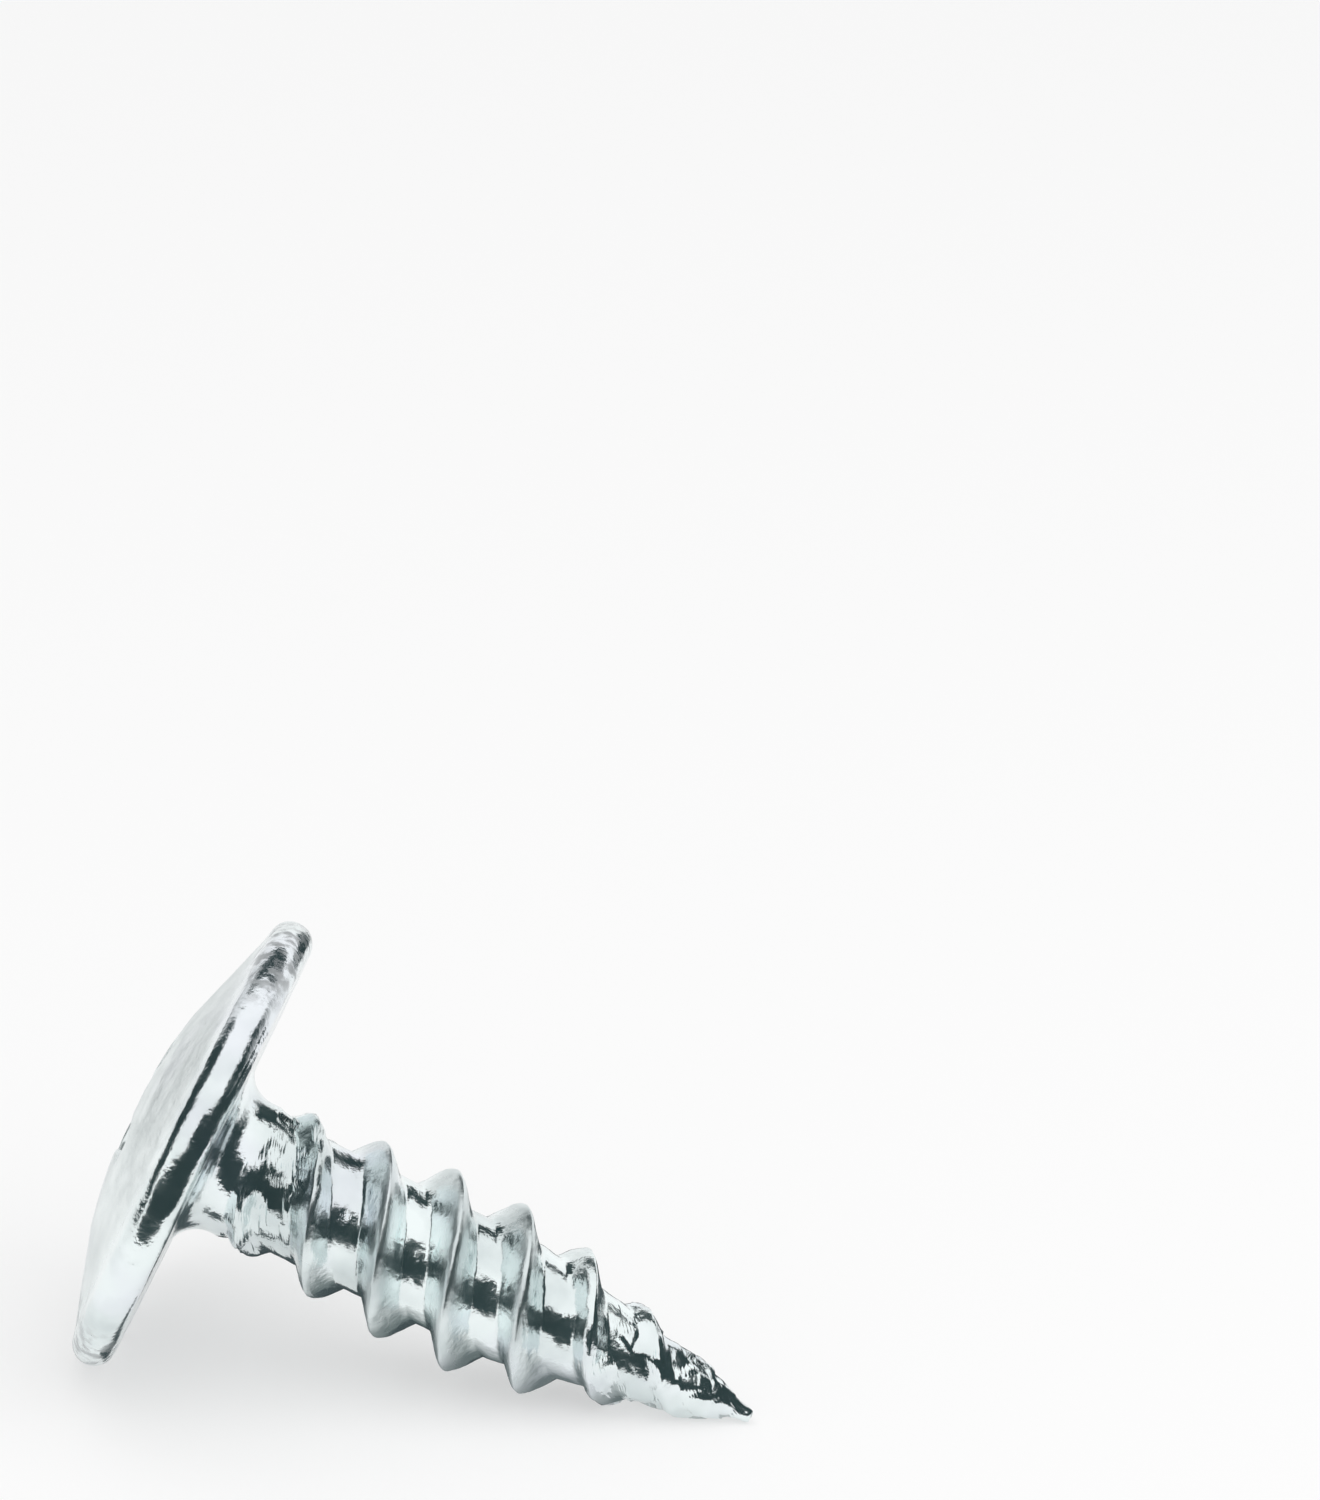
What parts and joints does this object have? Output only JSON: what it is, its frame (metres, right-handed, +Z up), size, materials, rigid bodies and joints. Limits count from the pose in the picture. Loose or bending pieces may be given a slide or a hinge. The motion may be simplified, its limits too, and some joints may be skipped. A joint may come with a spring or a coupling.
{
  "type": "drywall screw",
  "caption": "Short wafer-head drywall screw, zinc plated, with a coarse twin-start thread, a sharp point and a cross recess, lying at rest.",
  "frame": {"origin": "on the surface the screw lies on, under the middle of its box", "axes": "+Z up; the screw's axis lies in the XZ plane, with the head towards -X and the point towards +X and down; Y runs across the head"},
  "size_m": [0.0148, 0.0106, 0.01],
  "materials": {
    "zinc_plated_steel": "bright zinc plate, slightly mottled"
  },
  "bodies": {
    "root": {"drywall_screw": "zinc_plated_steel"}
  },
  "joints": []
}
